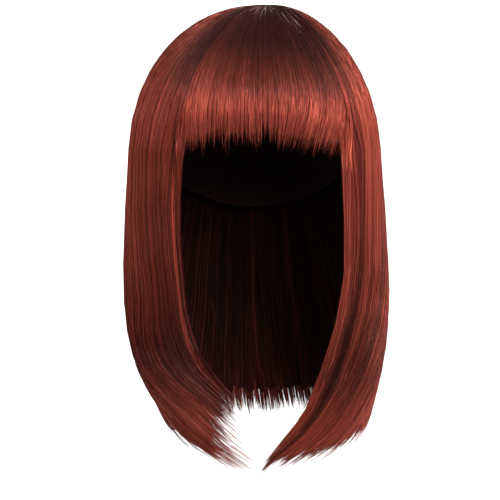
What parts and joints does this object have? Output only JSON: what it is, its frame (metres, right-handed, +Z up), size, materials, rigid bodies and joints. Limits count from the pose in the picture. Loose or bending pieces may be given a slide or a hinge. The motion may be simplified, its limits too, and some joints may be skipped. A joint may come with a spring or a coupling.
{
  "type": "bob wig",
  "caption": "Shoulder-length straight bob wig with a full feathered fringe, ends curled inward, on a plain open cap.",
  "frame": {"origin": "the crown seat: the topmost point of the inside of the cap, where it rests on the crown of the head", "axes": "+Z up, out of the crown; -Y is where the face looks; +X is the viewer's right as seen from the front, the wearer's left"},
  "size_m": [0.2065, 0.2194, 0.3508],
  "materials": {
    "cap": "dark stretch net cap",
    "hair_roots": "dark auburn roots",
    "fringe_hair": "glossy straight fibre, auburn red",
    "side_hair": "glossy straight fibre, auburn red",
    "back_hair": "glossy straight fibre, auburn red"
  },
  "bodies": {
    "root": {"cap": "cap", "crown_swirl": "hair_roots", "fringe": "fringe_hair", "side_hair_left": "side_hair", "side_hair_right": "side_hair", "back_hair": "back_hair"}
  },
  "joints": []
}
